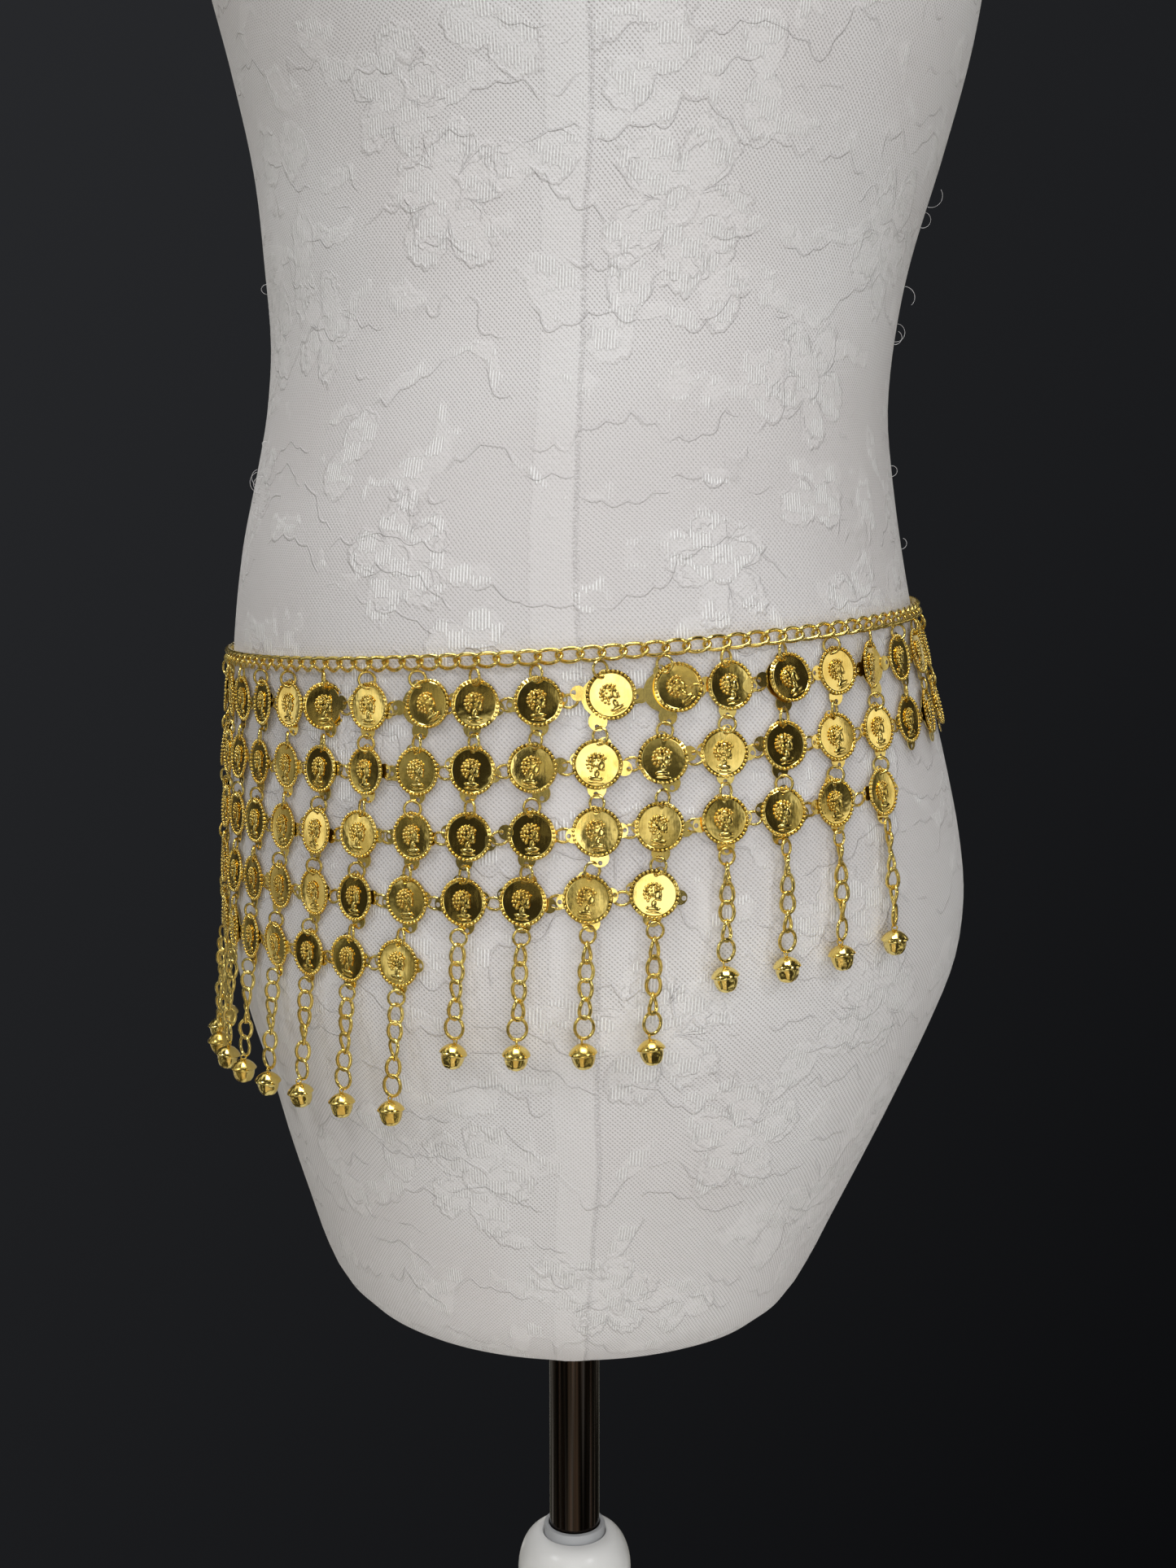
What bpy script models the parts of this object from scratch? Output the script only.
"""Coin waist chain worn on a limbless dress form with a short pedestal stand.

All sizes are in millimetres, counted from the underside of the stand, and are
turned into metres when a mesh is made. The figure faces -Y and +Z is up. A place
on the form is given by an angle round it (0 at the front, 90 degrees at the
figure's left) and a height.
"""

import math

import bmesh
import bpy
from mathutils import Vector

MM = 0.001
CLEAR = 0.3
UP = Vector((0, 0, 1))

# Dress form: a row for each level section, measured from the stand's axis.
# Columns: height, half width, depth to the front, depth to the back.
FORM_SECTIONS = (
    (272, 74, 74, 61),
    (277, 91, 89, 75),
    (286, 103, 99, 86),
    (300, 111, 106, 96),
    (320, 120, 112, 106),
    (345, 131, 119, 119),
    (370, 142, 125, 131),
    (400, 151, 134, 150),
    (425, 158, 139, 161),
    (450, 161, 140, 163),
    (475, 161, 139, 158),
    (500, 159, 138, 150),
    (525, 155, 137, 142),
    (557, 150, 136, 131),
    (590, 145, 132, 123),
    (620, 141, 125, 118),
    (643, 139, 120, 116),
    (670, 140, 117, 119),
    (700, 144, 118, 126),
    (740, 154, 120, 139),
    (780, 163, 128, 150),
    (820, 169, 139, 155),
    (855, 171, 145, 156),
    (890, 172, 139, 153),
    (920, 171, 122, 142),
    (945, 164, 98, 128),
    (965, 146, 80, 110),
    (985, 112, 66, 90),
    (1005, 77, 56, 72),
    (1025, 60, 52, 62),
    (1060, 55, 51, 56),
    (1072, 51, 48, 52),
)
FORM_SIDES = 28
# The widest level of the hips lies between these two heights at every angle.
HIPS_FROM = 425
HIPS_TO = 500

# Waist chain: it hangs higher at the back and on the figure's left.
CHAIN_HEIGHT = 557
CHAIN_RISE_LEFT = 0.042
CHAIN_RISE_BACK = 0.062
LINK_PITCH = 7.3
LINK_HALF_HEIGHT = 2.75
LINK_WAIST = 1.6
CHAIN_HALF_THICKNESS = 1.1
CHAIN_LIFT = 0.65 + CHAIN_HALF_THICKNESS
CHAIN_SAMPLES = 720
CLASP_GAP = 22.0
CLASP_LENGTH = 13.0
CLASP_HALF_HEIGHT = 3.0
CLASP_HALF_THICKNESS = 1.6
# Shape of the hook and the end ring. Columns: share of the length, of the height.
CLASP_PROFILE = ((0.0, 0.4), (0.25, 0.9), (0.6, 1.0), (1.0, 0.5))

# Coins: columns hang from every third link, the middle one near the front. The net
# is worn a little askew, so each row lies further to the figure's right.
COLUMN_PITCH = 3 * LINK_PITCH
BELT_TURN = -4.5
ROW_DRIFT = 2.3
STRAND_DRIFT = 1.5
COLUMNS = 33
ROW_PITCH = 23.0
FIRST_ROW = 15.0
COIN_RADIUS = 9.0
COIN_HALF_THICKNESS = 0.45
COIN_LIFT = 1.5 + COIN_HALF_THICKNESS
EAR_HALF_HEIGHT = 1.7
EAR_GAP = 0.55
FREE_EAR = 1.9
# How many rows hang at this many columns, or fewer, from the middle one.
ROWS_WITHIN = ((4, 5), (8, 4), (12, 3), (16, 2))
STRAND_ROWS = 3

# Outline of a coin on its carrier plate, top to bottom from its centre.
# Columns: distance down, half width.
COIN_OUTLINE = (
    (-9.0, 2.4),
    (-6.6, 6.6),
    (-2.4, 9.0),
    (2.4, 9.0),
    (6.6, 6.6),
    (9.0, 2.4),
    (11.6, 1.4),
)
EAR_STEP = 3
# Jump ring between the chain and the first coin, measured in the same way.
TOP_RING = ((-11.8, 1.2), (-10.6, 1.9))

# Bell strand below the last coin's plate: rings and links as swellings.
# Columns: distance below the coin's centre, half width, half thickness.
STRAND = (
    (12.6, 1.4, 0.6),
    (14.6, 0.9, 0.9),
    (18.2, 1.3, 1.7),
    (21.4, 0.9, 0.9),
    (24.6, 2.2, 0.8),
    (27.8, 0.9, 0.9),
    (31.1, 2.2, 0.8),
    (34.3, 0.9, 0.9),
    (37.5, 1.4, 1.7),
    (40.4, 0.9, 0.9),
    (44.2, 3.2, 0.8),
    (48.2, 1.0, 1.0),
)
# Jingle bell. Columns: distance below the coin's centre, radius.
BELL = ((49.4, 1.9), (52.8, 4.9), (56.6, 3.6), (58.2, 1.6))
BELL_SIDES = 8
STRAND_LIFT = 2.2
BELL_LIFT = 5.5

# Stand: a tube in a socket ring, on a turned pedestal.
POLE_RADIUS = 11.0
POLE_FOOT = 140.0
SOCKET_RADIUS = 13.5
SOCKET_RISE = 4.0
SOCKET_FLOOR = 146.0
HUB_TOP = 156.0
HUB_RADIUS = 25.0
HUB_SHOULDER = 138.0
BASE_RADIUS = 155.0
BASE_EDGE = 9.0
FLARE_RADIUS = 70.0
FLARE_FOOT = 22.0
TURN_STEPS = 24


def between(table, height):
    """The other columns of a table at a height, on a smooth curve through its rows."""
    rows = len(table)
    last = 1
    while last < rows - 1 and table[last][0] < height:
        last += 1
    first = last - 1
    span = table[last][0] - table[first][0]
    part = min(max((height - table[first][0]) / span, 0.0), 1.0)
    values = []
    for column in range(1, len(table[0])):
        low = table[first][column]
        high = table[last][column]
        slopes = []
        for row in (first, last):
            below = table[max(row - 1, 0)]
            above = table[min(row + 1, rows - 1)]
            slopes.append((above[column] - below[column]) / (above[0] - below[0]) * span)
        square = part * part
        cube = square * part
        values.append(
            (2 * cube - 3 * square + 1) * low
            + (cube - 2 * square + part) * slopes[0]
            + (3 * square - 2 * cube) * high
            + (cube - square) * slopes[1]
        )
    return values


def on_form(angle, height):
    """A point of the form's surface."""
    width, front, back = between(FORM_SECTIONS, height)
    depth = front if math.cos(angle) > 0 else back
    return Vector((width * math.sin(angle), -depth * math.cos(angle), height))


def round_form(angle, height):
    """The level direction along the form's surface, towards a larger angle."""
    width, front, back = between(FORM_SECTIONS, height)
    depth = front if math.cos(angle) > 0 else back
    return Vector((width * math.cos(angle), depth * math.sin(angle), 0)).normalized()


def widest_level(angle):
    """The height at which the hips reach out furthest at an angle."""
    best = HIPS_FROM
    reach = 0.0
    for height in range(HIPS_FROM, HIPS_TO + 1):
        point = on_form(angle, height)
        distance = math.hypot(point.x, point.y)
        if distance > reach:
            reach = distance
            best = height
    return best


def resting(angle, height, widest):
    """A point on the form, or straight below its widest level for what hangs free."""
    point = on_form(angle, max(height, widest))
    point.z = height
    return point


def steepness(angle, height, widest):
    """The upward direction of what hangs at this place."""
    step = 2.0
    over = resting(angle, height + step, widest)
    under = resting(angle, height - step, widest)
    return (over - under).normalized()


def place(angle, height, widest, lift):
    """Origin and the across, down and out directions of a piece lying here."""
    up = steepness(angle, height, widest)
    across = round_form(angle, max(height, widest))
    out = across.cross(up).normalized()
    return resting(angle, height, widest) + out * lift, across, -up, out


def drop(angle, start, length, widest):
    """The height reached a length below a start, measured down the surface."""
    height = start
    left = length
    while left > 0:
        step = min(left, 1.0)
        height -= step * steepness(angle, height, widest).z
        left -= step
    return height


def chain_point(angle):
    """A point of the form's surface behind the waist chain's middle line."""
    height = CHAIN_HEIGHT
    for _ in range(4):
        point = on_form(angle, height)
        height = CHAIN_HEIGHT + CHAIN_RISE_LEFT * point.x + CHAIN_RISE_BACK * point.y
    return on_form(angle, height)


def chain_place(angle):
    """Origin and directions on the chain's middle line, outside the form."""
    point = chain_point(angle)
    step = 0.01
    across = (chain_point(angle + step) - chain_point(angle - step)).normalized()
    up = (on_form(angle, point.z + 2) - on_form(angle, point.z - 2)).normalized()
    out = across.cross(up).normalized()
    return point + out * CHAIN_LIFT, across, out.cross(across), out


def measure_chain():
    """Angles round the form with the chain's length up to each, 0 at the front."""
    angles = []
    lengths = []
    total = 0.0
    previous = None
    for index in range(CHAIN_SAMPLES + 1):
        angle = -math.pi + math.tau * index / CHAIN_SAMPLES
        point = chain_place(angle)[0]
        if previous is not None:
            total += (point - previous).length
        previous = point
        angles.append(angle)
        lengths.append(total)
    middle = lengths[CHAIN_SAMPLES // 2]
    return angles, [length - middle for length in lengths]


def angle_at(length, chain):
    """The angle at a length along the chain from the front."""
    angles, lengths = chain
    last = 1
    while last < len(lengths) - 1 and lengths[last] < length:
        last += 1
    part = (length - lengths[last - 1]) / (lengths[last] - lengths[last - 1])
    return angles[last - 1] + part * (angles[last] - angles[last - 1])


def new_object(name, mesh, material, parts):
    mesh.materials.append(material)
    piece = bpy.data.objects.new(name, mesh)
    parts.objects.link(piece)
    return piece


def finish_mesh(name, shape, smooth_degrees=None):
    """A mesh from a closed shape in millimetres, with its faces pointing out."""
    bmesh.ops.recalc_face_normals(shape, faces=shape.faces)
    bmesh.ops.scale(shape, vec=(MM, MM, MM), verts=shape.verts)
    mesh = bpy.data.meshes.new(name)
    shape.to_mesh(mesh)
    shape.free()
    if smooth_degrees is not None:
        mesh.shade_smooth()
        mesh.set_sharp_from_angle(angle=math.radians(smooth_degrees))
    return mesh


def plain_material(name, colour, roughness, metallic):
    material = bpy.data.materials.new(name)
    material.use_nodes = True
    shader = material.node_tree.nodes["Principled BSDF"]
    shader.inputs["Base Color"].default_value = (*colour, 1)
    shader.inputs["Roughness"].default_value = roughness
    shader.inputs["Metallic"].default_value = metallic
    material.diffuse_color = (*colour, 1)
    return material


def ring_of(shape, origin, across, out, half_width, half_thickness):
    """Four corners of a cross-section, from its back left one round."""
    corners = ((-1, -1), (1, -1), (1, 1), (-1, 1))
    return [
        shape.verts.new(origin + across * (x * half_width) + out * (y * half_thickness))
        for x, y in corners
    ]


def round_ring(shape, origin, across, out, radius, sides):
    """A round cross-section that starts at the same corner as ring_of."""
    verts = []
    for index in range(sides):
        turn = math.radians(225) + math.tau * index / sides
        offset = across * math.cos(turn) + out * math.sin(turn)
        verts.append(shape.verts.new(origin + offset * radius))
    return verts


def join_rings(shape, first, second):
    """Side faces between two cross-sections, the second with as many corners or twice."""
    count = len(first)
    faces = []
    for index in range(count):
        here = first[index]
        there = first[(index + 1) % count]
        if len(second) == count:
            across = second[(index + 1) % count]
            faces.append(shape.faces.new((here, there, across, second[index])))
            continue
        start = second[2 * index]
        middle = second[2 * index + 1]
        end = second[(2 * index + 2) % len(second)]
        faces.append(shape.faces.new((here, middle, start)))
        faces.append(shape.faces.new((here, there, middle)))
        faces.append(shape.faces.new((there, end, middle)))
    return faces


def loft(shape, rings):
    """A closed body through a list of cross-sections."""
    steps = [join_rings(shape, first, second) for first, second in zip(rings, rings[1:])]
    shape.faces.new(reversed(rings[0]))
    shape.faces.new(rings[-1])
    return steps


def make_form(parts, material):
    """The torso: a loft through its level sections, flat underneath and at the neck."""
    shape = bmesh.new()
    rings = []
    for row in FORM_SECTIONS:
        ring = []
        for index in range(FORM_SIDES):
            angle = math.tau * index / FORM_SIDES
            ring.append(shape.verts.new(on_form(angle, row[0])))
        rings.append(ring)
    loft(shape, rings)
    new_object("dress_form", finish_mesh("dress_form", shape, 60), material, parts)


def make_chain(parts, material, chain):
    """The waist chain: a strip that swells at each link and narrows where two meet."""
    half = chain[1][-1] - CLASP_GAP / 2
    links = int(half / LINK_PITCH)
    shape = bmesh.new()
    rings = []
    for step in range(-2 * links - 1, 2 * links + 2):
        length = step * LINK_PITCH / 2
        origin, across, down, out = chain_place(angle_at(length, chain))
        height = LINK_WAIST if step % 2 else LINK_HALF_HEIGHT
        rings.append(ring_of(shape, origin, down, out, height, CHAIN_HALF_THICKNESS))
    loft(shape, rings)
    new_object("waist_chain", finish_mesh("waist_chain", shape), material, parts)
    return (links + 0.5) * LINK_PITCH


def make_clasp(parts, material, chain, chain_end):
    """The hook and the end ring that close the chain at the middle of the back."""
    back = chain[1][-1]
    start = chain_end + CLEAR
    turn = start + CLASP_LENGTH
    finish = 2 * back - chain_end - CLEAR
    pieces = (
        ("chain_hook", start, turn, CLASP_HALF_HEIGHT, CLASP_HALF_THICKNESS),
        ("chain_end_ring", turn + CLEAR, finish, LINK_HALF_HEIGHT, CHAIN_HALF_THICKNESS),
    )
    for name, first, last, half_height, half_thickness in pieces:
        shape = bmesh.new()
        rings = []
        for part, share in CLASP_PROFILE:
            length = first + (last - first) * part
            if length > back:
                length -= 2 * back
            origin, across, down, out = chain_place(angle_at(length, chain))
            lifted = origin + out * (half_thickness - CHAIN_HALF_THICKNESS)
            height = half_height * share
            rings.append(ring_of(shape, lifted, down, out, height, half_thickness))
        loft(shape, rings)
        new_object(name, finish_mesh(name, shape), material, parts)


def rows_of(column):
    """How many coins hang in a column."""
    offset = abs(column - COLUMNS // 2)
    for reach, rows in ROWS_WITHIN:
        if offset <= reach:
            return rows
    return 0


def hang(column, distance, drift, lift, chain):
    """Where a piece lies, a distance down a column and drifted along the form."""
    along = BELT_TURN + (column - COLUMNS // 2) * COLUMN_PITCH
    start = chain_point(angle_at(along, chain)).z
    angle = angle_at(along - drift, chain)
    widest = widest_level(angle)
    return place(angle, drop(angle, start, distance, widest), widest, lift)


def pull_ear(shape, face, own, tip):
    """Draws a side face of a coin out to the tip where a side ring meets its neighbour."""
    origin, _, down, out = own
    ear = bmesh.ops.extrude_discrete_faces(shape, faces=[face])["faces"][0]
    for vert in ear.verts:
        low = 1 if (vert.co - origin).dot(down) > 0 else -1
        outer = 1 if (vert.co - origin).dot(out) > 0 else -1
        vert.co = tip + down * (low * EAR_HALF_HEIGHT) + out * (outer * COIN_HALF_THICKNESS)


def ear_tip(own, other, side):
    """Halfway to the next coin of the row, less half the gap; or a short free ear."""
    origin, across = own[:2]
    if other is None:
        return origin + across * (side * (COIN_RADIUS + FREE_EAR))
    towards = other[0] - origin
    return origin + towards * 0.5 - towards.normalized() * (EAR_GAP / 2)


def make_column(parts, material, column, places, chain):
    """One column: jump ring, coins on their plates with side ears, and a bell strand."""
    shape = bmesh.new()
    rings = []
    ears = []
    for row, own in enumerate(places[column]):
        origin, across, down, out = own
        outline = COIN_OUTLINE if row else TOP_RING + COIN_OUTLINE
        step = EAR_STEP if row else EAR_STEP + len(TOP_RING)
        ears.append((len(rings) + step - 1, row))
        for distance, half_width in outline:
            centre = origin + down * distance
            rings.append(ring_of(shape, centre, across, out, half_width, COIN_HALF_THICKNESS))
    if len(places[column]) >= STRAND_ROWS:
        rings += make_strand(shape, column, len(places[column]), chain)
    steps = loft(shape, rings)
    for step, row in ears:
        own = places[column][row]
        for side, face in ((1, steps[step][1]), (-1, steps[step][3])):
            neighbour = column + side
            other = None
            if 0 <= neighbour < COLUMNS and row < len(places[neighbour]):
                other = places[neighbour][row]
            pull_ear(shape, face, own, ear_tip(own, other, side))
    name = f"coin_column_{column + 1:02d}"
    new_object(name, finish_mesh(name, shape), material, parts)


def make_strand(shape, column, rows, chain):
    """Cross-sections of the short chain and the jingle bell under a column."""
    rings = []
    last_coin = FIRST_ROW + (rows - 1) * ROW_PITCH
    top = STRAND[0][0]
    bottom = BELL[1][0]
    for distance, *size in STRAND + BELL:
        part = min((distance - top) / (bottom - top), 1.0)
        drift = (rows - 1) * ROW_DRIFT + STRAND_DRIFT * part
        lift = STRAND_LIFT + (BELL_LIFT - STRAND_LIFT) * part
        origin, across, down, out = hang(column, last_coin + distance, drift, lift, chain)
        if len(size) == 2:
            rings.append(ring_of(shape, origin, across, out, *size))
        else:
            rings.append(round_ring(shape, origin, across, out, size[0], BELL_SIDES))
    return rings


def make_columns(parts, material, chain):
    places = []
    for column in range(COLUMNS):
        coins = []
        for row in range(rows_of(column)):
            distance = FIRST_ROW + row * ROW_PITCH
            coins.append(hang(column, distance, row * ROW_DRIFT, COIN_LIFT, chain))
        places.append(coins)
    for column in range(COLUMNS):
        make_column(parts, material, column, places, chain)


def turned(name, profile, material, parts):
    """A turned piece: a profile in radius and height, spun round the stand's axis."""
    mesh = bpy.data.meshes.new(name)
    verts = [(radius * MM, 0, height * MM) for radius, height in profile]
    edges = [(index, index + 1) for index in range(len(verts) - 1)]
    if profile[0][0] > 0:
        edges.append((len(verts) - 1, 0))
    mesh.from_pydata(verts, edges, [])
    piece = new_object(name, mesh, material, parts)
    spin = piece.modifiers.new("Turn", "SCREW")
    spin.steps = TURN_STEPS
    spin.render_steps = TURN_STEPS
    spin.use_merge_vertices = True
    spin.merge_threshold = 0.00001
    spin.use_smooth_shade = True
    return piece


def arc(centre, radii, start, end, steps):
    """Points of an elliptical arc in radius and height, angles in degrees from level."""
    points = []
    for index in range(steps + 1):
        turn = math.radians(start + (end - start) * index / steps)
        radius = centre[0] + radii[0] * math.cos(turn)
        points.append((radius, centre[1] + radii[1] * math.sin(turn)))
    return points


def make_stand(parts, pole_material, socket_material, pedestal_material):
    form_foot = FORM_SECTIONS[0][0]
    pole = ((0, form_foot - CLEAR), (POLE_RADIUS, form_foot - CLEAR))
    pole += ((POLE_RADIUS, POLE_FOOT), (0, POLE_FOOT))
    turned("stand_pole", pole, pole_material, parts)

    bore = POLE_RADIUS + CLEAR
    rim = HUB_TOP + SOCKET_RISE
    socket = ((bore, rim), (SOCKET_RADIUS, rim))
    socket += ((SOCKET_RADIUS, SOCKET_FLOOR), (bore, SOCKET_FLOOR))
    turned("stand_socket_ring", socket, socket_material, parts)

    counterbore = SOCKET_RADIUS + CLEAR
    lip = counterbore + 1.5
    dome = arc((lip, HUB_SHOULDER), (HUB_RADIUS - lip, HUB_TOP - HUB_SHOULDER), 90, 0, 4)
    flare_centre = (HUB_RADIUS + FLARE_RADIUS, FLARE_FOOT + FLARE_RADIUS)
    flare = arc(flare_centre, (FLARE_RADIUS, FLARE_RADIUS), 180, 270, 5)
    profile = [(0, POLE_FOOT - CLEAR), (bore, POLE_FOOT - CLEAR)]
    profile += [(bore, SOCKET_FLOOR - CLEAR), (counterbore, SOCKET_FLOOR - CLEAR)]
    profile += [(counterbore, HUB_TOP)] + dome + flare
    profile += [(BASE_RADIUS - 4, BASE_EDGE + 3), (BASE_RADIUS, BASE_EDGE)]
    profile += [(BASE_RADIUS, 1.5), (BASE_RADIUS - 1.5, 0), (0, 0)]
    turned("stand_pedestal", profile, pedestal_material, parts)


def clear_scene():
    for piece in list(bpy.data.objects):
        bpy.data.objects.remove(piece)


def main():
    clear_scene()
    parts = bpy.data.collections.new("coin_waist_chain")
    bpy.context.scene.collection.children.link(parts)
    gold = plain_material("gold_plate", (0.83, 0.6, 0.16), 0.22, 1.0)
    cover = plain_material("form_cover", (0.78, 0.76, 0.74), 0.85, 0.0)
    dark_tube = plain_material("dark_tube", (0.03, 0.026, 0.024), 0.12, 0.9)
    grey_plastic = plain_material("grey_plastic", (0.42, 0.43, 0.45), 0.4, 0.0)
    white_plastic = plain_material("white_plastic", (0.8, 0.8, 0.8), 0.25, 0.0)

    make_form(parts, cover)
    make_stand(parts, dark_tube, grey_plastic, white_plastic)
    chain = measure_chain()
    chain_end = make_chain(parts, gold, chain)
    make_clasp(parts, gold, chain, chain_end)
    make_columns(parts, gold, chain)


main()
